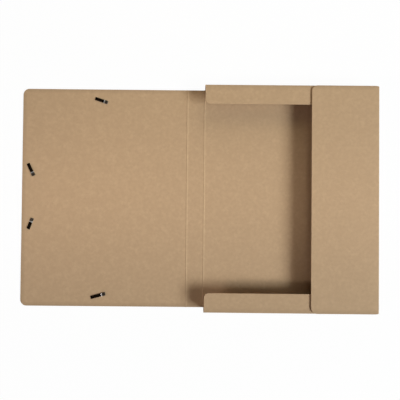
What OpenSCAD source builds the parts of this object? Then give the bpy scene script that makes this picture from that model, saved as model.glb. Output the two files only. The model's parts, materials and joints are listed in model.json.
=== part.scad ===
// Filing box of creased card, lying open: a front cover, a spine, and a tray whose three walls
// carry flaps that fold in over the papers. An elastic crosses each free corner of the cover
// on its outside, and its metal-tipped ends come through slots to the inside.
// X runs from the cover's free edge to the tray's side wall, Y from the bottom edge to the top,
// Z up from the surface that the box lies on. The origin is under the middle of the open box.

/* [Card] */
// Thickness of the card
card_t = 0.8; // [0.6:0.1:1.2]
// Gap between the bead of a fold and the panel that turns about it
bead_gap = 0.1; // [0.05:0.05:0.3]
// Thickness of the pressed web between a bead and the panel that carries it
web_t = 0.3; // [0.2:0.1:0.5]

/* [Cover and spine] */
// Height of the cover and the spine, along their folds
cover_h = 320; // [300:1:340]
// Width of the cover, from its fold to its free edge
cover_w = 243; // [225:0.1:265]
// Radius of the cover's two free corners
cover_corner_r = 9; // [4:0.5:14]
// Width of the spine, from fold to fold
spine_w = 25.3; // [20:0.1:45]

/* [Tray] */
// Gap between the ends of the closed cover and the top and bottom walls
cover_gap = 1.2; // [0.5:0.1:2]
// Gap between the free edge of the closed cover and the side wall
side_gap = 4.4; // [1:0.1:8]
// Gap between a wall's end and the panel beside it
end_gap = 0.4; // [0.3:0.1:1]
// Gap between the crimps of the closed cover and the side flap
closing_gap = 0.4; // [0.3:0.1:2]
// Gap between the side flap and the two flaps under it
flap_gap = 0.3; // [0.3:0.1:1]
// Width of the side flap, from its fold to its free edge
side_flap_w = 95.5; // [60:0.5:115]
// Radius of the side flap's free corners
side_flap_r = 8.5; // [2:0.5:12]
// Width of the top and bottom flaps, from fold to free edge
end_flap_w = 27.2; // [18:0.1:40]
// Radius of the free corner of the top and bottom flaps
end_flap_r = 7; // [2:0.5:10]
// How far the top and bottom flaps stop short of their walls' ends at the spine
flap_inset = 0.6; // [0:0.1:3]
// Angle at which the top and bottom flaps are cut back under the side flap
mitre = 45; // [45:1:60]

/* [Elastics] */
// Width of the flat elastic
elastic_w = 4.6; // [3:0.1:7]
// Thickness of the flat elastic
elastic_t = 0.8; // [0.5:0.1:1.2]
// How much the elastic is pinched on each side where it passes through the card
pinch = 0.3; // [0.1:0.1:0.6]
// Gap between the elastic and its slot
slot_gap = 0.3; // [0.1:0.05:0.6]
// Distances of the slots from the cover's free edge: top, upper edge, lower edge, bottom
slot_in = [107.1, 8.9, 10.4, 104]; // [8:0.1:130]
// Distances of the slots from the nearer end of the cover: top, upper edge, lower edge, bottom
slot_down = [13.7, 111.1, 113, 12.9]; // [10:0.1:130]
// Lengths of the loose ends from slot to crimp: top, upper edge, lower edge, bottom
tail_len = [13, 13.5, 10.5, 15.5]; // [6:0.5:20]
// Directions of the loose ends, from +X: top, upper edge, lower edge, bottom
tail_turn = [-18.5, -64, 69.5, 15.5]; // [-90:0.5:90]

/* [Crimps] */
// Length of a crimp along the elastic
crimp_l = 6; // [4:0.5:8]
// Thickness of the sheet metal of a crimp
crimp_sheet = 0.25; // [0.2:0.05:0.4]
// Gap between the crimp and the elastic inside it
crimp_gap = 0.05; // [0.02:0.01:0.1]
// Radius of the folded edges of a crimp
crimp_r = 0.4; // [0.2:0.05:0.5]

/* [Hidden] */
$fn = 64;

// A fold's axis lies in the middle of the card, and panels stop short of it by the setback
half_t = card_t / 2;
setback = half_t + bead_gap;
axis_z = half_t;

// Crimps and elastics on the cover, measured from the card's middle
pocket_w = elastic_w + 2 * crimp_gap;
pocket_h = elastic_t + 2 * crimp_gap;
crimp_w = pocket_w + 2 * crimp_sheet;
crimp_h = pocket_h + 2 * crimp_sheet;
tail_z = half_t + crimp_sheet + crimp_gap;
neck_w = elastic_w - 2 * pinch;

// Slot centres on the cover: how far out from its fold, and how far up from its middle
slot_end = [1, 1, -1, -1];
slot_u = [for (i = [0:3]) cover_w - slot_in[i]];
slot_v = [for (i = [0:3]) slot_end[i] * (cover_h / 2 - slot_down[i])];

// The open cover rests on the inner ends of the elastics under it, so it leans up from its fold
cover_tilt = asin(elastic_t / (min(slot_u) - elastic_w / sqrt(2)));

// Places of the folds: the tray takes in the closed cover, and the flaps lie under it
tray_reach = cover_w + side_gap + half_t;
cover_reach = spine_w + cover_w * cos(cover_tilt) + half_t * sin(cover_tilt);
spine_x = (cover_reach - tray_reach - half_t) / 2;
cover_x = spine_x - spine_w;
side_x = spine_x + tray_reach;
wall_y = cover_h / 2 + cover_gap + half_t;
side_axis_z = axis_z + spine_w - half_t - crimp_h - closing_gap - half_t;
end_axis_z = side_axis_z - card_t - flap_gap;

// Ends of the walls
end_wall_x0 = spine_x + half_t + end_gap;
end_wall_x1 = side_x - half_t - end_gap;
end_wall_l = end_wall_x1 - end_wall_x0;
end_flap_x0 = end_wall_x0 + flap_inset;
side_wall_l = 2 * (wall_y - half_t - end_gap);
side_flap_l = 2 * wall_y;

card_colour = [0.72, 0.6, 0.47];
crease_colour = [0.66, 0.54, 0.42];
elastic_colour = [0.08, 0.08, 0.08];
crimp_colour = [0.7, 0.7, 0.71];

// Flat card cut to a 2D outline, with its middle at z = 0
module card() {
    color(card_colour)
        translate([0, 0, -half_t])
            linear_extrude(card_t) children();
}

// What is cut from a square corner at the origin, which fills the quarter x < 0 and y < 0, to round it
module corner_cut(r) {
    difference() {
        translate([-r, -r]) square(r);
        translate([-r, -r]) circle(r);
    }
}

// A fold's bead along Y, with the web that ties it to the panel on its -X side
module bead(length) {
    color(crease_colour) {
        rotate([90, 0, 0]) cylinder(r = half_t, h = length, center = true);
        translate([-setback, -length / 2, -web_t / 2]) cube([setback, length, web_t]);
    }
}

// The same bead on top of an upright wall, which carries it from below
module top_bead(length) {
    rotate([0, -90, 0]) bead(length);
}

// The cover's own frame: on its fold, with the cover running to -X and its inside up
module on_cover() {
    translate([cover_x, 0, axis_z])
        rotate([0, cover_tilt, 0]) children();
}

// The frame of one slot, on the cover: its loose end runs to +X
module at_slot(i) {
    translate([-slot_u[i], slot_v[i], 0])
        rotate([0, 0, tail_turn[i]]) children();
}

// Panels

module back_panel() {
    translate([spine_x + setback, -(wall_y - setback), axis_z])
        card() square([tray_reach - 2 * setback, 2 * (wall_y - setback)]);
}

module spine_panel() {
    translate([cover_x + setback, -cover_h / 2, axis_z])
        card() square([spine_w - 2 * setback, cover_h]);
}

module cover_outline() {
    difference() {
        translate([-cover_w, -cover_h / 2]) square([cover_w - setback, cover_h]);
        translate([-cover_w, cover_h / 2]) rotate(90) corner_cut(cover_corner_r);
        translate([-cover_w, -cover_h / 2]) rotate(180) corner_cut(cover_corner_r);
        for (i = [0:3])
            at_slot(i) square([elastic_t + 2 * slot_gap, neck_w + 2 * slot_gap], center = true);
    }
}

module front_cover() {
    on_cover() card() cover_outline();
}

module side_wall() {
    translate([side_x, -side_wall_l / 2, axis_z + setback])
        rotate([0, -90, 0])
            card() square([side_axis_z - axis_z - 2 * setback, side_wall_l]);
}

module side_flap() {
    translate([side_x, 0, side_axis_z])
        card() difference() {
            translate([-side_flap_w, -side_flap_l / 2]) square([side_flap_w - setback, side_flap_l]);
            translate([-side_flap_w, side_flap_l / 2]) rotate(90) corner_cut(side_flap_r);
            translate([-side_flap_w, -side_flap_l / 2]) rotate(180) corner_cut(side_flap_r);
        }
}

// Top wall, and bottom wall by mirror
module end_wall() {
    translate([end_wall_x0, wall_y, axis_z + setback])
        rotate([90, 0, 0])
            card() square([end_wall_l, end_axis_z - axis_z - 2 * setback]);
}

// Top flap, and bottom flap by mirror: rounded at the spine, mitred under the side flap
module end_flap() {
    translate([0, wall_y, end_axis_z])
        card() difference() {
            polygon([
                [end_flap_x0, -setback],
                [end_wall_x1 - setback * tan(mitre), -setback],
                [end_wall_x1 - end_flap_w * tan(mitre), -end_flap_w],
                [end_flap_x0, -end_flap_w]
            ]);
            translate([end_flap_x0, -end_flap_w]) rotate(180) corner_cut(end_flap_r);
        }
}

module top_wall() {
    end_wall();
}

module top_flap() {
    end_flap();
}

module bottom_wall() {
    mirror([0, 1, 0]) end_wall();
}

module bottom_flap() {
    mirror([0, 1, 0]) end_flap();
}

// Folds

module spine_crease() {
    translate([spine_x, 0, axis_z]) rotate([0, 0, 180]) bead(cover_h);
}

module cover_crease() {
    translate([cover_x, 0, axis_z]) rotate([0, 0, 180]) bead(cover_h);
}

module side_wall_crease() {
    translate([side_x, 0, axis_z]) bead(side_wall_l);
}

module side_flap_crease() {
    translate([side_x, 0, side_axis_z]) top_bead(side_wall_l);
}

module end_wall_crease() {
    translate([end_wall_x0 + end_wall_l / 2, wall_y, axis_z]) rotate([0, 0, 90]) bead(end_wall_l);
}

module end_flap_crease() {
    translate([end_wall_x0 + end_wall_l / 2, wall_y, end_axis_z]) rotate([0, 0, 90]) top_bead(end_wall_l);
}

module top_wall_crease() {
    end_wall_crease();
}

module top_flap_crease() {
    end_flap_crease();
}

module bottom_wall_crease() {
    mirror([0, 1, 0]) end_wall_crease();
}

module bottom_flap_crease() {
    mirror([0, 1, 0]) end_flap_crease();
}

// Elastics: a flat stretch on the cover's outside from slot a to slot b, and both loose ends inside

module loose_end(i) {
    at_slot(i) {
        translate([-elastic_t / 2, -neck_w / 2, -half_t - elastic_t])
            cube([elastic_t, neck_w, half_t + elastic_t + tail_z + elastic_t]);
        translate([-elastic_t / 2, -elastic_w / 2, tail_z])
            cube([elastic_t / 2 + tail_len[i] + crimp_l - crimp_sheet - crimp_gap, elastic_w, elastic_t]);
    }
}

module elastic(a, b) {
    run = [slot_u[a] - slot_u[b], slot_v[b] - slot_v[a]];
    on_cover() color(elastic_colour) {
        translate([-slot_u[a], slot_v[a], -half_t - elastic_t])
            rotate([0, 0, atan2(run[1], run[0])])
                translate([-elastic_w / 2, -elastic_w / 2, 0])
                    cube([norm(run) + elastic_w, elastic_w, elastic_t]);
        loose_end(a);
        loose_end(b);
    }
}

module upper_elastic() {
    elastic(0, 1);
}

module lower_elastic() {
    elastic(3, 2);
}

// Crimps: a flattened metal sleeve, closed at its outer end, with rounded folds

module crimp_section() {
    union() {
        square([crimp_w - 2 * crimp_r, crimp_h], center = true);
        square([crimp_w, crimp_h - 2 * crimp_r], center = true);
        for (x = [-1, 1], y = [-1, 1])
            translate([x * (crimp_w / 2 - crimp_r), y * (crimp_h / 2 - crimp_r)]) circle(crimp_r);
    }
}

module crimp(i) {
    on_cover() at_slot(i)
        color(crimp_colour)
            translate([tail_len[i], 0, half_t + crimp_h / 2])
                difference() {
                    rotate([90, 0, 90]) linear_extrude(crimp_l) crimp_section();
                    translate([-crimp_sheet, 0, 0])
                        cube([2 * crimp_l, pocket_w, pocket_h], center = true);
                }
}

module top_crimp() {
    crimp(0);
}

module upper_edge_crimp() {
    crimp(1);
}

module lower_edge_crimp() {
    crimp(2);
}

module bottom_crimp() {
    crimp(3);
}

back_panel();
spine_panel();
front_cover();
side_wall();
side_flap();
top_wall();
top_flap();
bottom_wall();
bottom_flap();
spine_crease();
cover_crease();
side_wall_crease();
top_wall_crease();
bottom_wall_crease();
side_flap_crease();
top_flap_crease();
bottom_flap_crease();
upper_elastic();
lower_elastic();
top_crimp();
upper_edge_crimp();
lower_edge_crimp();
bottom_crimp();
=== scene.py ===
# %% [markdown]
# # A filing box of creased kraft card
# This notebook dresses a filing box that lies wide open on a white table. The real box is one
# sheet of card that is cut, creased and folded, with two elastics that hold it closed. The solid
# model already gives every panel, fold, elastic and metal end its exact place. Here each of them
# gets the look of the real thing: rounded folds, cut edges, woven elastic and pressed metal.
#
# The frame is loaded first. It holds the solid model and its hinges, and all that follows is
# measured from it.
# %% Load the frame
import json
import math

import bmesh
import bpy
from mathutils import Matrix, Vector, noise


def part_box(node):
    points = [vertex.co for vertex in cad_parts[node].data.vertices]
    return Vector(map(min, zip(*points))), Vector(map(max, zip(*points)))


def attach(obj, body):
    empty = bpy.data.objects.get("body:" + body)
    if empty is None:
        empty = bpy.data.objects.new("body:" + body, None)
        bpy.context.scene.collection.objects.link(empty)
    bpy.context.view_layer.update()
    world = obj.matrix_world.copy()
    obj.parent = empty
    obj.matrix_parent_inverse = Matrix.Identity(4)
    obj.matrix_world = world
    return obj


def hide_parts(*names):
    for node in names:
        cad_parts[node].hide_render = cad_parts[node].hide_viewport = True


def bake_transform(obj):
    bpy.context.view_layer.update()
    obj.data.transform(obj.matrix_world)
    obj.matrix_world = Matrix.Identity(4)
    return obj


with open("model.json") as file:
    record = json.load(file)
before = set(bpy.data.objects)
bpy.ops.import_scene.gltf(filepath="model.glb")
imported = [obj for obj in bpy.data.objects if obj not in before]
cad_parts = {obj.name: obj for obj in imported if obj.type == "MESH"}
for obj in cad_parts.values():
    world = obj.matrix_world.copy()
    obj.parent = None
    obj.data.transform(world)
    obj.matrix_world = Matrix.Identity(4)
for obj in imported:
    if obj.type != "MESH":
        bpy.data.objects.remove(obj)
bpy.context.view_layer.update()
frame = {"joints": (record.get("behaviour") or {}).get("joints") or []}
MM = 0.001

# %% [markdown]
# ## The camera
# The photograph looks straight down on the open box. A camera could be placed by eye, but the box
# has many straight edges at known places, so the eye point, the small tilts and the lens were
# solved from where those edges appear. The eye is about 56 cm above the table, close enough for
# the raised flaps to look larger than the cover that lies flat.
# %% Camera
camera_data = bpy.data.cameras.new("photo_camera")
camera_data.sensor_width = 36
camera_data.lens = 33.83
camera = bpy.data.objects.new("photo_camera", camera_data)
tilt_x = Matrix.Rotation(math.radians(0.845), 4, "X")
tilt_y = Matrix.Rotation(math.radians(0.236), 4, "Y")
turn_z = Matrix.Rotation(math.radians(0.532), 4, "Z")
eye = Vector((6.95, -10.62, 555.69)) * MM
camera.matrix_world = Matrix.Translation(eye) @ tilt_x @ tilt_y @ turn_z
bpy.context.scene.collection.objects.link(camera)
bpy.context.scene.camera = camera
bpy.context.scene.view_settings.view_transform = "Standard"
print("eye above the table in mm:", round(eye.z / MM, 1))

# %% [markdown]
# ## The measures of the sheet
# A hinge axis runs through the middle of the card at each fold. The axes come from the frame, so
# the looks follow when a fold moves. A pressed fold is wider than a line: the card is bent or
# beaded over about 3 mm. So every panel stops short of its axes by REACH, or by RAMP on the slow
# side of a spine bead, and a fold strip fills the space between. BEND is the radius of a folded
# corner in the middle of the card, RIM is how far in from a cut edge or a fold the card is painted
# darker as shade, and ARRIS is the rounding of the cut edge itself.
# %% Measures of the sheet
fold = {joint["name"]: Vector(joint["pos_m"]) for joint in frame["joints"]}
base_low, base_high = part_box("back_panel")
HALF = (base_high.z - base_low.z) / 2
REACH = 1.6 * MM
RAMP = 3.4 * MM
BEND = 0.6 * MM
RIM = 6.5 * MM
ARRIS = 0.16 * MM
spine_x = fold["spine_fold"].x
cover_x = fold["cover_fold"].x
side_x = fold["side_wall_fold"].x
wall_y = fold["top_wall_fold"].y
floor_z = fold["spine_fold"].z
side_z = fold["side_flap_fold"].z
end_z = fold["top_flap_fold"].z
print("card thickness in mm:", round(2 * HALF / MM, 2))
print("spine in mm:", round((spine_x - cover_x) / MM, 1))

# %% [markdown]
# ## Kraft card
# Kraft card is unbleached: a brown sheet of matted wood fibres with paler and darker hairs in it
# and a soft, uneven cloudiness. A scanned picture of card would show its repeats on a sheet this
# large, so the card is made of noise, in object coordinates: the pattern then runs on from panel
# to panel as on one sheet. Five families of stretched noise stand for fibres that lie in
# different directions, and a broad and a finer noise give the clouds.
# %% Node helpers
def new_material(name):
    """A new material, its node tree, its shader and the place of a point on the object."""
    material = bpy.data.materials.new(name)
    material.use_nodes = True
    tree = material.node_tree
    shader = tree.nodes["Principled BSDF"]
    place = tree.nodes.new("ShaderNodeTexCoord").outputs["Object"]
    return material, tree, shader, place


def speckle(tree, place, scale, detail, turn=(0, 0, 0)):
    """Noise at a scale in cycles per metre for each direction, after a turn in degrees."""
    mapping = tree.nodes.new("ShaderNodeMapping")
    mapping.vector_type = "TEXTURE"
    mapping.inputs["Rotation"].default_value = [math.radians(angle) for angle in turn]
    mapping.inputs["Scale"].default_value = [1 / size for size in scale]
    texture = tree.nodes.new("ShaderNodeTexNoise")
    texture.inputs["Scale"].default_value = 1
    texture.inputs["Detail"].default_value = detail
    tree.links.new(place, mapping.inputs["Vector"])
    tree.links.new(mapping.outputs["Vector"], texture.inputs["Vector"])
    return texture.outputs["Fac"]


def spread(tree, value, low, high, to_low, to_high):
    """Maps a noise value from one range to another and holds it inside."""
    node = tree.nodes.new("ShaderNodeMapRange")
    for socket, number in zip(node.inputs[1:5], (low, high, to_low, to_high)):
        socket.default_value = number
    tree.links.new(value, node.inputs["Value"])
    return node.outputs["Result"]


def tint(tree, amount, first, second):
    """Mixes from the first colour to the second one by an amount; either may be a socket."""
    node = tree.nodes.new("ShaderNodeMix")
    node.data_type = "RGBA"
    tree.links.new(amount, node.inputs["Factor"])
    for socket, colour in ((node.inputs[6], first), (node.inputs[7], second)):
        if isinstance(colour, tuple):
            socket.default_value = (*colour, 1)
        else:
            tree.links.new(colour, socket)
    return node.outputs[2]


def combine(tree, how, first, second):
    """Joins two values by a sum or the like; either may be a number or a socket."""
    node = tree.nodes.new("ShaderNodeMath")
    node.operation = how
    for socket, value in zip(node.inputs, (first, second)):
        if isinstance(value, (int, float)):
            socket.default_value = value
        else:
            tree.links.new(value, socket)
    return node.outputs[0]


def relief(tree, shader, height, depth, strength):
    """Tilts the light on a surface as if it had this height, without moving its points."""
    bump = tree.nodes.new("ShaderNodeBump")
    bump.inputs["Strength"].default_value = strength
    bump.inputs["Distance"].default_value = depth
    tree.links.new(height, bump.inputs["Height"])
    tree.links.new(bump.outputs["Normal"], shader.inputs["Normal"])


print("node helpers ready")

# %% [markdown]
# The clouds carry most of what a camera sees from half a metre away, and they make the shine
# uneven. The hairs and the grain only show when the eye comes close, and they make the bump. Where
# the mesh marks a rim, the card is painted browner as shade along its cut edges and folds. The
# beads of the spine are a little paler than the faces, and a cut edge shows more of its fibres.
# %% Card materials
SHADE_BROWN = (0.25, 0.166, 0.096)
SHADE_SHARE = 0.34


def card_material(name, pale, dark, hair):
    """Card from two cloud colours and a hair colour; pale hairs take the pale cloud's colour."""
    material, tree, shader, place = new_material(name)
    rim = tree.nodes.new("ShaderNodeAttribute")
    rim.attribute_name = "rim"
    clouds = speckle(tree, place, (215, 215, 215), 2)
    drifts = speckle(tree, place, (75, 75, 75), 2)
    grain = speckle(tree, place, (2600, 2600, 2600), 2)
    colour = tint(tree, spread(tree, clouds, 0.3, 0.7, 0, 1), dark, pale)
    colour = tint(tree, spread(tree, drifts, 0.33, 0.67, 0, 0.56), colour, dark)
    height = grain
    for angle, shade in ((12, hair), (-31, pale), (57, hair), (-76, pale), (84, hair)):
        strands = speckle(tree, place, (420, 3600, 900), 2, (0, 0, angle))
        thin = spread(tree, strands, 0.62, 0.74, 0, 0.4)
        colour = tint(tree, thin, colour, shade)
        height = combine(tree, "ADD", height, thin)
    # Painted shade: near the marked cut edges and folds the card is mixed towards a darker brown.
    edge_shade = spread(tree, rim.outputs["Fac"], 0, 1, 0, SHADE_SHARE)
    colour = tint(tree, edge_shade, colour, SHADE_BROWN)
    tree.links.new(colour, shader.inputs["Base Color"])
    tree.links.new(spread(tree, clouds, 0.3, 0.7, 0.7, 0.86), shader.inputs["Roughness"])
    shader.inputs["Specular IOR Level"].default_value = 0.25
    relief(tree, shader, height, 0.08 * MM, 0.35)
    return material


card_face = card_material("card_face", (0.536, 0.365, 0.223), (0.472, 0.317, 0.189), (0.42, 0.27, 0.15))
card_bead = card_material("card_bead", (0.552, 0.377, 0.231), (0.486, 0.328, 0.196), (0.43, 0.28, 0.16))
card_edge = card_material("card_edge", (0.56, 0.40, 0.26), (0.47, 0.32, 0.19), (0.38, 0.24, 0.13))
print("card materials:", card_face.name, card_bead.name, card_edge.name)

# %% [markdown]
# ## Cutting a panel
# A die cuts the sheet with a steel rule, and the rule presses the rim of the cut down a little. A
# flat box with bevelled edges would be quick, but it would round the folds as well as the cuts. So
# a panel is drawn as an outline with rounded corners, filled and given its thickness, and only its
# cut rims are rounded off. Along a fold the panel ends flush against the fold strip.
# %% Outlines
CORNER_STEPS = 12


def rounded(corners, folded=()):
    """Turns corners (x, y, radius) into points; folded lists the corners whose next edge is a fold."""
    points = []
    flags = []
    for index, (x, y, radius) in enumerate(corners):
        here = Vector((x, y))
        back = (Vector(corners[index - 1][:2]) - here).normalized()
        ahead = (Vector(corners[(index + 1) % len(corners)][:2]) - here).normalized()
        steps = CORNER_STEPS if radius else 0
        half = back.angle(ahead) / 2
        centre = here + (back + ahead).normalized() * radius / math.sin(half) if radius else here
        start = here + back * radius / math.tan(half) - centre
        side = 1 if back.x * ahead.y - back.y * ahead.x < 0 else -1
        for step in range(steps + 1):
            turn = side * (math.pi - 2 * half) * step / max(steps, 1)
            points.append(centre + Matrix.Rotation(turn, 2) @ start)
            flags.append(step == steps and index in folded)
    return points, flags


def shrunk(points, flags, amount):
    """Moves an outline inwards, but leaves its fold edges where they are."""
    moved = []
    for index, here in enumerate(points):
        into = (here - points[index - 1]).normalized()
        out = (points[(index + 1) % len(points)] - here).normalized()
        first = 0 if flags[index - 1] else amount
        second = 0 if flags[index] else amount
        cross = into.x * out.y - into.y * out.x
        if abs(cross) < 1e-4:
            shift = Vector((-into.y, into.x)) * (first + second) / 2
        else:
            shift = (out * first - into * second) / cross
        moved.append(here + shift)
    return moved


print("outline helpers ready")

# %% [markdown]
# The plate is a stack of rings that follow the outline: full size in the middle of the card and
# slightly smaller towards both faces, which rounds the rim. Both faces are then filled, with the
# elastic slots left open, and cut into a grid so that the panel can carry the faint waves that
# real card has.
# %% Plate
GRID = 9 * MM


def stack_rings(mesh, outline):
    """Makes the rim of a plate and returns the rings of its upper and lower face."""
    points, flags = outline
    lean = ARRIS * (1 - math.sqrt(0.5))
    levels = [(ARRIS, HALF), (lean, HALF - lean), (0, HALF - ARRIS)]
    levels += [(amount, -height) for amount, height in reversed(levels)]
    rings = []
    for amount, height in levels:
        ring = shrunk(points, flags, amount)
        rings.append([mesh.verts.new((point.x, point.y, height)) for point in ring])
    count = len(points)
    for upper, lower in zip(rings, rings[1:]):
        for index in range(count):
            after = (index + 1) % count
            face = mesh.faces.new((upper[index], lower[index], lower[after], upper[after]))
            face.material_index = 1
    return rings[0], rings[-1]


def fill_face(mesh, loops):
    """Fills the space between a ring and the rings of the slots inside it."""
    edges = []
    for ring in loops:
        edges += [mesh.edges.get((ring[index - 1], ring[index])) for index in range(len(ring))]
    for edge in edges:
        edge.smooth = False
    bmesh.ops.triangle_fill(mesh, use_beauty=True, edges=edges)


def cut_line(mesh, point, normal):
    """Cuts every face that a plane crosses in two."""
    everything = mesh.verts[:] + mesh.edges[:] + mesh.faces[:]
    bmesh.ops.bisect_plane(mesh, geom=everything, dist=1e-7, plane_co=point, plane_no=normal)


def cut_grid(mesh, rims):
    """Cuts a plate into a grid, with four closer lines along each rim."""
    for axis in range(2):
        places = [vert.co[axis] for vert in mesh.verts]
        normal = Vector((axis == 0, axis == 1, 0))
        low = min(places)
        span = max(places) - low
        count = int(span / GRID)
        for step in range(1, count):
            cut_line(mesh, normal * (low + span * step / count), normal)
    for start, inward, _ in rims:
        for share in (0.25, 0.5, 0.75, 1):
            cut_line(mesh, (start + inward * RIM * share).to_3d(), inward.to_3d())


print("plate helpers ready")

# %% [markdown]
# Card is never quite flat. Each panel gets waves of a few hundredths of a millimetre, and the large
# cover of a tenth, enough to break up the light on it. They could be a modifier, but here they have
# to fade out towards the folds, so that the panel still meets them, and a formula can do that. Along
# the marked rims the card is painted a little darker than the rest, as shade, which the material
# reads from a value stored on the points of the mesh.
# %% Waves and rims
FADE = 14 * MM
WAVES_PER_M = 22


def fade_from_folds(point, outline):
    """0 on a fold of the outline and 1 from FADE away, with a soft rise between."""
    points, flags = outline
    weight = 1
    for index, folded in enumerate(flags):
        if folded:
            start = points[index]
            along = points[(index + 1) % len(points)] - start
            share = max(0, min(1, (point - start).dot(along) / along.length_squared))
            far = min(1, (point - start - along * share).length / FADE)
            weight = min(weight, far * far * (3 - 2 * far))
    return weight


def rim_lines(corners, edges):
    """A point on each rim of an outline, the direction in from it and how much painted shade it gets.
    """
    lines = []
    for index, darkness in edges:
        start = Vector(corners[index][:2])
        way = (Vector(corners[(index + 1) % len(corners)][:2]) - start).normalized()
        lines.append((start, Vector((-way.y, way.x)), darkness))
    return lines


def rim_share(point, rims):
    """How much painted shade a point gets: as much as its rim gets, and none from RIM inwards."""
    shares = [min(1, 1 - (point - start).dot(inward) / RIM) * darkness for start, inward, darkness in rims]
    return max([0] + shares)


print("waves fade over mm:", round(FADE / MM, 1))

# %% Panel
def keep_object(name, mesh, node, materials):
    """Stores a finished mesh as an object that stands in for a node of the frame."""
    bmesh.ops.recalc_face_normals(mesh, faces=mesh.faces[:])
    for face in mesh.faces:
        face.smooth = True
    data = bpy.data.meshes.new(name)
    mesh.to_mesh(data)
    mesh.free()
    for material in materials:
        data.materials.append(material)
    made = bpy.data.objects.new(name, data)
    bpy.context.scene.collection.objects.link(made)
    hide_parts(node)
    return made


def panel(node, body, place, corners, folded, rim_edges=(), holes=(), wave=0.05 * MM, lift=None):
    """Builds the card of a node from its outline: folded edges, rims painted darker as shade, slots,
    waves and a lift.
    """
    mesh = bmesh.new()
    outline = rounded(corners, folded)
    rims = rim_lines(corners, rim_edges)
    loops = [stack_rings(mesh, ring) for ring in (outline, *holes)]
    fill_face(mesh, [loop[0] for loop in loops])
    fill_face(mesh, [loop[1] for loop in loops])
    cut_grid(mesh, rims)
    rim_layer = mesh.verts.layers.float.new("rim")
    for vert in mesh.verts:
        flat = vert.co.to_2d()
        vert[rim_layer] = rim_share(flat, rims)
        ripple = noise.noise(Vector((flat.x * WAVES_PER_M, flat.y * WAVES_PER_M, len(node))))
        vert.co.z += wave * ripple * fade_from_folds(flat, outline)
        if lift:
            vert.co.z += lift(flat)
    mesh.transform(place)
    made = keep_object(node + "_card", mesh, node, (card_face, card_edge))
    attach(made, body)
    print(made.name, "faces:", len(made.data.polygons))


print("panel helper ready")

# %% [markdown]
# ## The flat panels: back, spine and cover
# The back panel is the floor of the tray, the narrow spine stands up beside it when the box is
# closed, and the cover comes over the top. The cover lies a little higher at its free edge,
# because the elastics pass underneath it there. Its free corners are rounded, and four slots let
# the elastics through: two pairs, each across one corner.
# %% Back and spine
flat_place = Matrix.Translation((0, 0, floor_z))
cover_low, cover_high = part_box("front_cover")
half_tall = cover_high.y
base_edge = wall_y - REACH


def rectangle(left, right, low, high):
    return [(left, low, 0), (right, low, 0), (right, high, 0), (left, high, 0)]


back = rectangle(spine_x + RAMP, side_x - REACH, -base_edge, base_edge)
panel("back_panel", "base", flat_place, back, (0, 1, 2, 3))
spine = rectangle(cover_x + RAMP, spine_x - REACH, -half_tall, half_tall)
panel("spine_panel", "spine", flat_place, spine, (1, 3), ((0, 1), (2, 1)))

# %% [markdown]
# The cover is drawn in its own frame, which starts at the cover fold and is tilted as the real
# cover lies. Each slot is as wide as the elastic and turned the way the loose end points. A slot
# could be cut by a boolean, but as a hole in the outline it gets the same rounded rim as a cut.
# %% Cover
rise = cover_high.z - floor_z - HALF
cover_tilt = math.asin(rise / (cover_x - cover_low.x))
cover_wide = (cover_x - cover_low.x) / math.cos(cover_tilt)
cover_place = Matrix.Translation(fold["cover_fold"]) @ Matrix.Rotation(cover_tilt, 4, "Y")
BAND_WIDE = 4.6 * MM
BAND_THICK = 0.8 * MM
SLOT_HALF = 0.7 * MM
SLOT_CORNER = 0.3 * MM
COVER_CORNER = 9 * MM
# Each slot in mm: out from the cover fold, up from the middle, turn in degrees, loose end's length.
SLOTS = (
    (135.9, 146.3, -18.5, 13.0),
    (234.1, 48.9, -64.0, 13.5),
    (232.6, -47.0, 69.5, 10.5),
    (139.0, -147.1, 15.5, 15.5),
)


def slot_frame(index):
    """Middle of a slot and the directions along and across the elastic's loose end."""
    out, high, turn, _ = SLOTS[index]
    angle = math.radians(turn)
    along = Vector((math.cos(angle), math.sin(angle), 0))
    return Vector((-out, high, 0)) * MM, along, Vector((-along.y, along.x, 0))


def slot_hole(index):
    """Outline of a slot, drawn the other way round from the cover's own outline."""
    centre, along, across = slot_frame(index)
    corners = []
    for first, second in ((-1, -1), (-1, 1), (1, 1), (1, -1)):
        point = centre + along * first * SLOT_HALF + across * second * BAND_WIDE / 2
        corners.append((point.x, point.y, SLOT_CORNER))
    return rounded(corners)


cover = [
    (-cover_wide, -half_tall, COVER_CORNER),
    (-REACH, -half_tall, 0),
    (-REACH, half_tall, 0),
    (-cover_wide, half_tall, COVER_CORNER),
]
slot_holes = [slot_hole(index) for index in range(4)]
cover_rims = ((0, 1), (2, 1), (3, 1))
panel("front_cover", "cover", cover_place, cover, (1,), cover_rims, slot_holes, 0.12 * MM)
print("cover tilt in degrees:", round(math.degrees(cover_tilt), 3))

# %% [markdown]
# ## The tray: three walls and three flaps
# The walls are strips of the same sheet, bent up along the back panel. Each wall carries a flap
# that is bent inwards over the papers. A wall could be modelled upright, but every panel is drawn
# flat by the same function and then stood up by a matrix. Only one end wall and one end flap are
# drawn: the other pair is their mirror image across the middle of the box.
# %% Walls
side_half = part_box("side_wall")[1].y
end_low, end_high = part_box("top_wall")
mirror = Matrix.Diagonal((1, -1, 1, 1))
side_place = Matrix(((0, 0, -1, side_x), (0, 1, 0, 0), (1, 0, 0, 0), (0, 0, 0, 1)))
end_place = Matrix(((1, 0, 0, 0), (0, 0, -1, wall_y), (0, 1, 0, 0), (0, 0, 0, 1)))
side_wall = rectangle(floor_z + REACH, side_z - REACH, -side_half, side_half)
end_wall = rectangle(end_low.x, end_high.x, floor_z + REACH, end_z - REACH)
panel("side_wall", "side_wall", side_place, side_wall, (1, 3))
panel("top_wall", "top_wall", end_place, end_wall, (0, 2))
panel("bottom_wall", "bottom_wall", mirror @ end_place, end_wall, (0, 2))
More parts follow.
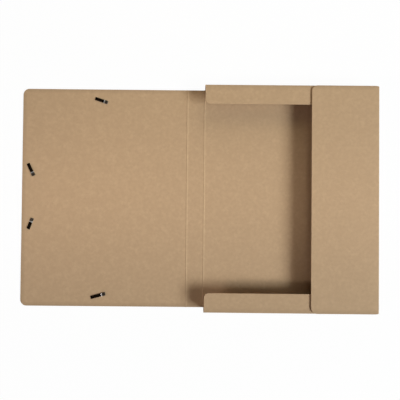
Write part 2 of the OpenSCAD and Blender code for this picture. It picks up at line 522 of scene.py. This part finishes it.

# %% [markdown]
# The wide side flap has rounded free corners and is relieved a little beside its fold, so that the
# die-cut corner doesn't tear. The card swells slightly next to that fold and springs up by half a
# millimetre towards its free edge, as a folded sheet does. The fold itself gets no painted shade:
# its rim is listed with a darkness of 0 for the closer lines that the swelling needs.
# %% Side flap
SIDE_FLAP_CORNER = 8.5 * MM
NOTCH = 2 * MM
NOTCH_CORNER = 0.8 * MM
SWELL = 0.2 * MM
SWELL_REACH = 9 * MM
SPRING = 0.6 * MM
flap_low, flap_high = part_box("side_flap")
seam_x = side_x - REACH
side_flap = [
    (flap_low.x, flap_low.y, SIDE_FLAP_CORNER),
    (seam_x - NOTCH, flap_low.y, NOTCH_CORNER),
    (seam_x, -side_half, 0),
    (seam_x, side_half, 0),
    (seam_x - NOTCH, flap_high.y, NOTCH_CORNER),
    (flap_low.x, flap_high.y, SIDE_FLAP_CORNER),
]
side_flap_place = Matrix.Translation((0, 0, side_z))


def spring(point):
    """How far a point of the flap rises: the swelling by the fold and the spring towards the edge."""
    far = max(0, seam_x - point.x)
    near = min(1, far / SWELL_REACH)
    swell = SWELL * near * near * (3 - 2 * near)
    return swell + SPRING * (far / (seam_x - flap_low.x)) ** 3


side_flap_rims = ((0, 1), (2, 0), (4, 1))
panel("side_flap", "side_flap", side_flap_place, side_flap, (2,), side_flap_rims, (), 0.07 * MM, spring)

# %% [markdown]
# The end flaps are narrow, rounded at the spine and cut back at an angle at the other end, where
# they slip under the side flap. Near their folds the card is painted darker as shade, but less than
# at a cut rim.
# %% End flaps
END_FLAP_CORNER = 7 * MM
MITRE_CORNER = 4 * MM
tongue_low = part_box("top_flap")[0]
seam_y = wall_y - REACH
deep = wall_y - tongue_low.y
end_flap = [
    (tongue_low.x, tongue_low.y, END_FLAP_CORNER),
    (end_high.x - deep, tongue_low.y, MITRE_CORNER),
    (end_high.x - REACH, seam_y, 0),
    (tongue_low.x, seam_y, 0),
]
end_flap_place = Matrix.Translation((0, 0, end_z))
# Share of the painted shade along the end flaps' folds and their fold strips.
FOLD_SHADE = 0.55
end_flap_rims = ((2, FOLD_SHADE),)
for node, flap_place in (("top_flap", end_flap_place), ("bottom_flap", mirror @ end_flap_place)):
    panel(node, node, flap_place, end_flap, (2,), end_flap_rims, (), 0.04 * MM)

# %% [markdown]
# ## The folds
# Creasing presses a blunt rule into the outside of the card and drives the fibres up into a bead
# on the inside. Where the card still lies flat, along both edges of the spine, that bead shows as
# a fine bright line. Where it is folded, the bead has turned into a rounded corner.
#
# A fold strip is one cross-section drawn out along the axis. It could ride with one panel, but then
# it would tear off the other one when the hinge turns, so it is left attached to neither.
# %% Fold strip
STRIP_STEP = 3.2 * MM


def fold_strip(node, axis, along, ends, section, wear_and_shade, material):
    """Draws a section out along a fold; section and painted shade are functions of the place."""
    mesh = bmesh.new()
    rim_layer = mesh.verts.layers.float.new("rim")
    count = int((ends[1] - ends[0]) / STRIP_STEP)
    rows = []
    for step in range(count + 1):
        place = ends[0] + (ends[1] - ends[0]) * step / count
        inner, outer = section(place)
        point = axis + along * place
        rows.append([[mesh.verts.new(point + offset) for offset in line] for line in (inner, outer)])
        for vert in rows[-1][0] + rows[-1][1]:
            # Painted shade of this row of the strip.
            vert[rim_layer] = wear_and_shade(place)
    last = len(rows[0][0]) - 1
    for before, after in zip(rows, rows[1:]):
        for line in range(2):
            for index in range(last):
                corners = (before[line][index], before[line][index + 1])
                mesh.faces.new((*corners, after[line][index + 1], after[line][index]))
        for index in (0, last):
            seam = (before[0][index], before[1][index], after[1][index], after[0][index])
            for edge in mesh.faces.new(seam).edges:
                edge.smooth = False
    for inner, outer in (rows[0], rows[-1]):
        for index in range(last):
            cut = mesh.faces.new((inner[index], inner[index + 1], outer[index + 1], outer[index]))
            cut.material_index = 1
            mesh.edges.get((inner[index], inner[index + 1])).smooth = False
            mesh.edges.get((outer[index], outer[index + 1])).smooth = False
    made = keep_object(node + "_card", mesh, node, (material, card_edge))
    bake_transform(made)
    print(made.name, "faces:", len(made.data.polygons))


print("rows of a fold strip every mm:", round(STRIP_STEP / MM, 1))

# %% [markdown]
# The beads along the spine are a third of a millimetre high and rubbed a little paler than the
# rest. They drop quickly on the side of the cover and slowly on the side of the tray, and have the
# groove of the creasing rule underneath. Their height wanders a little, as the pressure of a real
# rule does.
# %% Spine folds
BEAD_HIGH = 0.345 * MM
SLOW_FLANK = 2 * MM
QUICK_FLANK = 1.1 * MM
GROOVE_DEEP = 0.2 * MM
GROOVE_FLANK = 0.9 * MM
BEAD_STEPS = 32
PRESS_VARIES = 0.12
PRESS_CHANGES_PER_M = 30


def hump(run, flank):
    """A smooth rise that is 1 on the axis and 0 from a flank's width away."""
    return 0.5 + 0.5 * math.cos(math.pi * min(1, abs(run) / flank))


def bead_section(place):
    """Inner and outer line of the card across a spine fold, from the tray's side to the cover's."""
    inner = []
    outer = []
    press = 1 + PRESS_VARIES * noise.noise(Vector((place * PRESS_CHANGES_PER_M, 0, 5)))
    for step in range(BEAD_STEPS + 1):
        run = RAMP - (RAMP + REACH) * step / BEAD_STEPS
        bead = hump(run, SLOW_FLANK if run > 0 else QUICK_FLANK)
        inner.append(Vector((run, 0, HALF + BEAD_HIGH * press * bead)))
        outer.append(Vector((run, 0, -HALF + GROOVE_DEEP * hump(run, GROOVE_FLANK))))
    return inner, outer


def end_shade(place):
    """A spine fold gets painted shade like the rims where it reaches the cut edges of the sheet."""
    return max(0, 1 - (half_tall - abs(place)) / RIM)


east = Vector((1, 0, 0))
north = Vector((0, 1, 0))
up = Vector((0, 0, 1))
for node, bodies, joint in (
    ("spine_crease", ("base", "spine"), "spine_fold"),
    ("cover_crease", ("spine", "cover"), "cover_fold"),
):
    span = (-half_tall, half_tall)
    fold_strip(node, fold[joint], north, span, bead_section, end_shade, card_bead)

# %% [markdown]
# The tray folds are bent by 90 degrees. Inside and outside of the bend are two arcs around the
# same middle, so the card keeps its thickness, and short straight pieces lead on to the panels.
# Unfolded, the outer arc flattens into the groove and the inner arc rises into the bead.
# %% Tray folds
BEND_STEPS = 8


def bent_fold(node, axis, along, ends, toward_first, toward_second, darkness=0):
    """A rounded corner between two panels, which lead away from the axis in the two directions."""

    def arc(radius):
        line = [(REACH, BEND - radius)]
        for step in range(BEND_STEPS + 1):
            angle = math.pi / 2 * step / BEND_STEPS
            line.append((BEND - radius * math.sin(angle), BEND - radius * math.cos(angle)))
        line.append((BEND - radius, REACH))
        return [toward_first * first + toward_second * second for first, second in line]

    def section(place):
        return arc(BEND - HALF), arc(BEND + HALF)

    def even_shade(place):
        return darkness

    fold_strip(node, axis, along, ends, section, even_shade, card_face)


end_span = (end_low.x, end_high.x)
side_span = (-side_half, side_half)
axis = Vector((side_x, 0, floor_z))
bent_fold("side_wall_crease", axis, north, side_span, -east, up)
axis = Vector((side_x, 0, side_z))
bent_fold("side_flap_crease", axis, north, side_span, -up, -east)
for name, sign in (("top", 1), ("bottom", -1)):
    wall = name + "_wall"
    flap = name + "_flap"
    axis = Vector((0, sign * wall_y, floor_z))
    bent_fold(wall + "_crease", axis, east, end_span, -sign * north, up)
    axis = Vector((0, sign * wall_y, end_z))
    bent_fold(flap + "_crease", axis, east, end_span, -up, -sign * north, FOLD_SHADE)

# %% [markdown]
# ## The elastics
# Each elastic is a flat braid of rubber covered with black thread. It runs across a corner on the
# outside of the cover, goes through a slot at both ends and shows inside as two short loose ends.
# A curve with a bevel would be quick, but such a band twists at tight turns. So it is drawn as a
# path with a width direction and a face direction at every point: along the loose end, round and
# down through the slot, round again, and in a gentle curve into the run.
# %% Elastic paths
TAIL_Z = 1.1 * MM
TAIL_BOW = 0.15 * MM
RUN_Z = -0.8 * MM
TURN = 0.55 * MM
TIP = 5.7 * MM
CURVE = 12 * MM
CURVE_START = 4 * MM
CURVE_END = 5 * MM
BAND_STEP = 0.3 * MM
PATH_STEPS = 24
TURN_STEPS = 7
QUARTER_TURN = [math.pi / 2 * step / TURN_STEPS for step in range(TURN_STEPS + 1)]


def loose_end(index, run):
    """Path from the tip of a loose end to its run on the outside: (point, width, face) each."""
    centre, along, across = slot_frame(index)
    tail = SLOTS[index][3] * MM
    path = []
    for step in range(PATH_STEPS + 1):
        far = tail + TIP - (tail + TIP - TURN) * step / PATH_STEPS
        lift = TAIL_BOW * math.sin(math.pi * min(1, far / tail))
        path.append((centre + along * far + up * (TAIL_Z + lift), across, up))
    for angle in QUARTER_TURN[1:]:
        point = centre + along * TURN * (1 - math.sin(angle))
        point = point + up * (TAIL_Z - TURN + TURN * math.cos(angle))
        path.append((point, across, up * math.cos(angle) - along * math.sin(angle)))
    for angle in QUARTER_TURN:
        point = centre - along * TURN * (1 - math.cos(angle))
        point = point + up * (RUN_Z + TURN - TURN * math.sin(angle))
        path.append((point, across, up * math.sin(angle) - along * math.cos(angle)))
    first = path[-1][0]
    fourth = centre + run * CURVE + up * RUN_Z
    second = first - along * CURVE_START
    third = fourth - run * CURVE_END
    for step in range(1, PATH_STEPS + 1):
        share = step / PATH_STEPS
        rest = 1 - share
        point = first * rest**3 + second * 3 * share * rest**2
        point = point + third * 3 * share**2 * rest + fourth * share**3
        way = (second - first) * rest**2 + (third - second) * 2 * share * rest
        way = (way + (fourth - third) * share**2).normalized()
        path.append((point, way.cross(up), up))
    return path


def elastic_path(first, second):
    """The whole path from one loose end's tip to the other's."""
    run = (slot_frame(second)[0] - slot_frame(first)[0]).normalized()
    path = loose_end(first, run)
    path += [(point, -width, face) for point, width, face in reversed(loose_end(second, -run))]
    return path


def even_steps(path):
    """The same path with a point at every BAND_STEP."""
    even = []
    travelled = 0
    target = 0
    for (start, width, face), (end, next_width, next_face) in zip(path, path[1:]):
        length = (end - start).length
        while target <= travelled + length:
            share = (target - travelled) / length
            point = start.lerp(end, share)
            even.append((point, width.lerp(next_width, share), face.lerp(next_face, share)))
            target += BAND_STEP
        travelled += length
    return even


print("upper elastic points:", len(even_steps(elastic_path(0, 1))))

# %% [markdown]
# The thread is a dull, warm black that shines very little. It is made of a fine noise for single
# threads and a broad one for wear, because at this size a woven picture would only blur.
# %% Elastic material
THREAD_DARK = (0.003, 0.0016, 0.0008)
THREAD_PALE = (0.011, 0.0062, 0.0032)
THREAD_WORN = (0.012, 0.007, 0.004)


def elastic_material():
    material, tree, shader, place = new_material("elastic_braid")
    threads = speckle(tree, place, (1900, 1900, 1900), 2)
    wear_and_shade = speckle(tree, place, (160, 160, 160), 2)
    colour = tint(tree, spread(tree, threads, 0.35, 0.7, 0, 1), THREAD_DARK, THREAD_PALE)
    colour = tint(tree, spread(tree, wear_and_shade, 0.45, 0.7, 0, 0.3), colour, THREAD_WORN)
    tree.links.new(colour, shader.inputs["Base Color"])
    tree.links.new(spread(tree, threads, 0.3, 0.7, 0.75, 0.95), shader.inputs["Roughness"])
    shader.inputs["Specular IOR Level"].default_value = 0.02
    relief(tree, shader, threads, 0.06 * MM, 0.4)
    return material


braid = elastic_material()
print("elastic material:", braid.name)

# %% [markdown]
# The braid of such an elastic makes a row of small V shapes. They could be a bump in the material,
# but a loose end is seen from close by, so here they are real relief: the two broad faces rise and
# fall by a few hundredths of a millimetre along slanted lines that meet in the middle. The band
# narrows where a slot grips it.
# %% Elastics
WEAVE_PITCH = 1.35 * MM
WEAVE_SLANT = 1.2 * MM
WEAVE_HIGH = 0.04 * MM
GRIP = 0.12


def band_section():
    """Points around the band: place across, place through, and the side that carries the relief."""
    flat = (BAND_WIDE - BAND_THICK) / 2
    loop = [(-flat + 2 * flat * step / 14, BAND_THICK / 2, 1) for step in range(15)]
    for step in range(1, 5):
        angle = math.pi / 2 - math.pi * step / 5
        loop.append((flat + BAND_THICK / 2 * math.cos(angle), BAND_THICK / 2 * math.sin(angle), 0))
    return loop + [(-across, -through, -side) for across, through, side in loop]


def tube_faces(mesh, rings, closed=True):
    """Joins rings of points into a skin, with a face on both ends if it is closed."""
    for before, after in zip(rings, rings[1:]):
        for index in range(len(before)):
            mesh.faces.new((before[index - 1], before[index], after[index], after[index - 1]))
    if closed:
        mesh.faces.new(rings[0])
        mesh.faces.new(rings[-1])


def elastic(node, first, second):
    """Builds the elastic that runs between two slots."""
    mesh = bmesh.new()
    rings = []
    for step, (point, width, face) in enumerate(even_steps(elastic_path(first, second))):
        level = min(1, max(0, (point.z - RUN_Z) / (TAIL_Z - RUN_Z)))
        neck = 1 - GRIP * math.sin(math.pi * level) ** 2
        ring = []
        for across, through, side in band_section():
            slant = step * BAND_STEP / WEAVE_PITCH + abs(across) / WEAVE_SLANT
            weave = side * WEAVE_HIGH * math.sin(2 * math.pi * slant)
            aside = width.normalized() * across * neck
            ring.append(mesh.verts.new(point + aside + face.normalized() * (through + weave)))
        rings.append(ring)
    tube_faces(mesh, rings)
    mesh.transform(cover_place)
    made = keep_object(node + "_braid", mesh, node, (braid,))
    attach(made, "cover")
    print(made.name, "faces:", len(made.data.polygons))


elastic("upper_elastic", 0, 1)
elastic("lower_elastic", 3, 2)

# %% [markdown]
# ## The crimp ends
# A small piece of steel sheet is bent around the end of each elastic and pressed flat, so that it
# can't slip back through its slot. The steel is dark, and the rim towards the elastic is made of a
# pale steel as a painted highlight. One metal with a painted mask would do, but two materials on the
# faces give the painted highlight the sharp border that the real rim has.
# %% Crimp material
def steel_material(name, dark, pale, smooth):
    """Steel between two colours, with a lowest roughness and fine brush marks."""
    material, tree, shader, place = new_material(name)
    rub = speckle(tree, place, (700, 700, 700), 3)
    brush = speckle(tree, place, (900, 9000, 3000), 1)
    colour = tint(tree, spread(tree, rub, 0.35, 0.7, 0, 1), dark, pale)
    tree.links.new(colour, shader.inputs["Base Color"])
    shader.inputs["Metallic"].default_value = 1
    tree.links.new(spread(tree, brush, 0.3, 0.7, smooth, smooth + 0.14), shader.inputs["Roughness"])
    relief(tree, shader, brush, 0.03 * MM, 0.2)
    return material


steel = steel_material("crimp_steel", (0.082, 0.068, 0.055), (0.134, 0.112, 0.09), 0.26)
# Painted highlight: the rim next to the elastic gets this pale steel.
highlight_steel = steel_material("crimp_rim_steel", (0.58, 0.575, 0.56), (0.74, 0.73, 0.71), 0.22)
print("crimp materials:", steel.name, highlight_steel.name)

# %% [markdown]
# The rim of the crimp stays a little fuller than its body, two dents from the pressing tool cross
# the body, and the sheet meets itself in a seam underneath. A bevelled cube would show none of
# that, so the crimp is a row of rings, each with its own width, thickness and sink.
# %% Crimp sleeve
SLEEVE_CORNER = 0.42 * MM
SEAM_DEEP = 0.12 * MM
BORE_HALF = (2.36 * MM, 0.46 * MM)
BRIGHT_RIM = 1.7 * MM


def sleeve_ring(mesh, place, half_wide, half_thick, sink, seam):
    """One ring of a flattened sleeve: rounded sides, a top that may sink and a seam underneath."""
    centre, along, across, far = place
    corner = min(SLEEVE_CORNER, half_thick * 0.95)
    flat = half_wide - corner

    def round_side(start, run):
        for step in range(1, 8):
            angle = start - math.pi * step / 8
            lean = half_thick - sink * (1 + math.sin(angle)) / 2
            outline.append((run + corner * math.cos(angle), lean * math.sin(angle)))

    outline = [(-flat + 2 * flat * step / 10, half_thick - sink) for step in range(11)]
    round_side(math.pi / 2, flat)
    for step in range(13):
        run = flat - 2 * flat * step / 12
        outline.append((run, -half_thick + (seam if step == 6 else 0)))
    round_side(-math.pi / 2, -flat)
    middle = centre + along * far + up * TAIL_Z
    return [mesh.verts.new(middle + across * run + up * high) for run, high in outline]


# Rings in mm: place along the crimp, half the width, half the thickness, sink of the top.
STATIONS = (
    (0.0, 2.44, 0.56, 0.0),
    (0.1, 2.56, 0.66, 0.0),
    (0.3, 2.6, 0.7, -0.04),
    (0.8, 2.6, 0.7, -0.08),
    (1.4, 2.6, 0.7, -0.03),
    (1.7, 2.55, 0.69, 0.1),
    (2.0, 2.53, 0.68, 0.12),
    (2.5, 2.53, 0.68, 0.12),
    (2.75, 2.53, 0.68, 0.17),
    (3.0, 2.53, 0.68, 0.12),
    (3.8, 2.53, 0.68, 0.12),
    (4.05, 2.53, 0.68, 0.17),
    (4.3, 2.53, 0.68, 0.12),
    (5.5, 2.53, 0.68, 0.1),
    (5.8, 2.5, 0.66, 0.08),
    (6.0, 2.38, 0.54, 0.05),
)
print("crimp length in mm:", STATIONS[-1][0])

# %% Crimps
def crimp(node, index):
    """Builds the crimp on the loose end that comes through a slot."""
    mesh = bmesh.new()
    centre, along, across = slot_frame(index)
    start = SLOTS[index][3] * MM
    outside = []
    for far, wide, thick, sink in STATIONS:
        place = (centre, along, across, start + far * MM)
        outside.append(sleeve_ring(mesh, place, wide * MM, thick * MM, sink * MM, SEAM_DEEP))
    inside = []
    for far in (STATIONS[0][0], STATIONS[-1][0]):
        place = (centre, along, across, start + far * MM)
        inside.append(sleeve_ring(mesh, place, *BORE_HALF, 0, 0))
    tube_faces(mesh, [inside[0], *outside, inside[1], inside[0]], closed=False)
    for face in mesh.faces:
        far = (face.calc_center_median() - centre).dot(along) - start
        face.material_index = 1 if far < BRIGHT_RIM else 0
    mesh.transform(cover_place)
    made = keep_object(node + "_steel", mesh, node, (steel, highlight_steel))
    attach(made, "cover")
    print(made.name, "faces:", len(made.data.polygons))


for index, node in enumerate(("top_crimp", "upper_edge_crimp", "lower_edge_crimp", "bottom_crimp")):
    crimp(node, index)

# %% [markdown]
# ## Floor and light
# The table is a wide white floor. A plain white material would come out grey wherever the lamps
# miss it, so for the camera it is drawn almost white all over, with a small share of its real
# shading left in, so that the box still has a faint shadow.
# %% Floor
FLOOR_REACH = 8
FLOOR_DROP = 0.2 * MM
FLOOR_GLOW = 0.96


def seen_ray(tree):
    """1 for a ray from the camera, also by way of a mirror or glass, and 0 for one that lights."""
    path = tree.nodes.new("ShaderNodeLightPath")
    seen = combine(tree, "MAXIMUM", path.outputs["Is Camera Ray"], path.outputs["Is Glossy Ray"])
    return combine(tree, "MAXIMUM", seen, path.outputs["Is Transmission Ray"])


def floor_material():
    material, tree, shader, place = new_material("white_floor")
    dust = speckle(tree, place, (6, 6, 6), 2)
    colour = tint(tree, dust, (0.86, 0.86, 0.86), (0.9, 0.9, 0.9))
    tree.links.new(colour, shader.inputs["Base Color"])
    shader.inputs["Roughness"].default_value = 0.9
    glow = tree.nodes.new("ShaderNodeEmission")
    glow.inputs["Strength"].default_value = 1
    mix = tree.nodes.new("ShaderNodeMixShader")
    tree.links.new(combine(tree, "MULTIPLY", seen_ray(tree), FLOOR_GLOW), mix.inputs["Fac"])
    tree.links.new(shader.outputs["BSDF"], mix.inputs[1])
    tree.links.new(glow.outputs["Emission"], mix.inputs[2])
    tree.links.new(mix.outputs["Shader"], tree.nodes["Material Output"].inputs["Surface"])
    return material


floor_mesh = bpy.data.meshes.new("floor")
floor_corners = rectangle(-FLOOR_REACH, FLOOR_REACH, -FLOOR_REACH, FLOOR_REACH)
floor_mesh.from_pydata(floor_corners, [], [(0, 1, 2, 3)])
floor_mesh.materials.append(floor_material())
floor = bpy.data.objects.new("floor", floor_mesh)
floor.location.z = -FLOOR_DROP
bpy.context.scene.collection.objects.link(floor)
print("floor side in m:", 2 * FLOOR_REACH)

# %% [markdown]
# The light of a photographer's table is soft and comes from large panels. One large lamp stands to
# the right and a little towards the viewer: it draws the long shadow of the side flap into the
# tray. A weaker, warmer one at the left front fills that shadow. A low lamp behind the box, a
# narrow one over its upper edge, a strip above the middle and a small lamp above the cover make the
# light as even as it is on the real card. A single sun would be simpler, but its shadows are hard.
# %% Lamps
def area_lamp(name, azimuth, elevation, distance, wide, tall, power, aim):
    """A soft panel of light, placed by angles in degrees around its aim; sizes in m, power in W."""
    data = bpy.data.lights.new(name, "AREA")
    data.shape = "RECTANGLE"
    data.size = wide
    data.size_y = tall
    data.energy = power
    lamp = bpy.data.objects.new(name, data)
    turn = math.radians(azimuth)
    rise = math.radians(elevation)
    level = math.cos(rise)
    away = Vector((level * math.cos(turn), level * math.sin(turn), math.sin(rise)))
    lamp.location = aim + away * distance
    lamp.rotation_euler = away.to_track_quat("Z", "Y").to_euler()
    bpy.context.scene.collection.objects.link(lamp)
    print(name, "power:", power)
    return lamp


middle = Vector((0, 0, 0.01))
key_lamp = area_lamp("key_lamp", -23, 35, 3.6, 2.0, 1.3, 142.5, middle)
left_lamp = area_lamp("left_lamp", 207, 31, 2.5, 0.4, 0.4, 15.5, middle)
back_lamp = area_lamp("back_lamp", 68, 25, 1.0, 1.0, 0.4, 2.55, Vector((0, 0.05, 0.01)))
rim_lamp = area_lamp("rim_lamp", 90, 37, 0.34, 0.6, 0.12, 0.165, Vector((0, 0.05, 0)))
strip_lamp = area_lamp("strip_lamp", 0, 90, 0.75, 0.85, 0.06, 0.058, Vector((-0.03, 0, 0)))
strip_lamp.rotation_euler = (0, 0, 0)
strip_lamp.data.spread = math.radians(24)
top_lamp = area_lamp("top_lamp", 0, 90, 0.7, 0.15, 0.2, 0.03, Vector((-0.15, 0.05, 0)))
top_lamp.data.spread = math.radians(50)
key_lamp.data.color = (0.917, 0.99, 1)
left_lamp.data.color = (1, 0.84, 0.8)
rim_lamp.data.color = (1, 0.9, 0.5)
for lamp in (back_lamp, strip_lamp, top_lamp):
    lamp.data.color = (1, 0.9, 0.8)

# %% [markdown]
# What the lamps don't light, the room does. A picture of a real studio could be wrapped around the
# scene, but the card only needs a trace of light, and the steel only something to reflect: a
# bright horizon and a darker ceiling.
# %% World
FAINT = 0.01
world = bpy.data.worlds.new("studio")
bpy.context.scene.world = world
world.use_nodes = True
tree = world.node_tree
direction = tree.nodes.new("ShaderNodeTexCoord").outputs["Generated"]
parts = tree.nodes.new("ShaderNodeSeparateXYZ")
tree.links.new(direction, parts.inputs["Vector"])
height = spread(tree, parts.outputs["Z"], 0.14, 0.7, 1, 0.12)
shown = combine(tree, "MULTIPLY", seen_ray(tree), height)
backdrop = tree.nodes["Background"]
tree.links.new(combine(tree, "MAXIMUM", shown, FAINT), backdrop.inputs["Strength"])
backdrop.inputs["Color"].default_value = (1, 1, 1, 1)
print("world:", world.name)
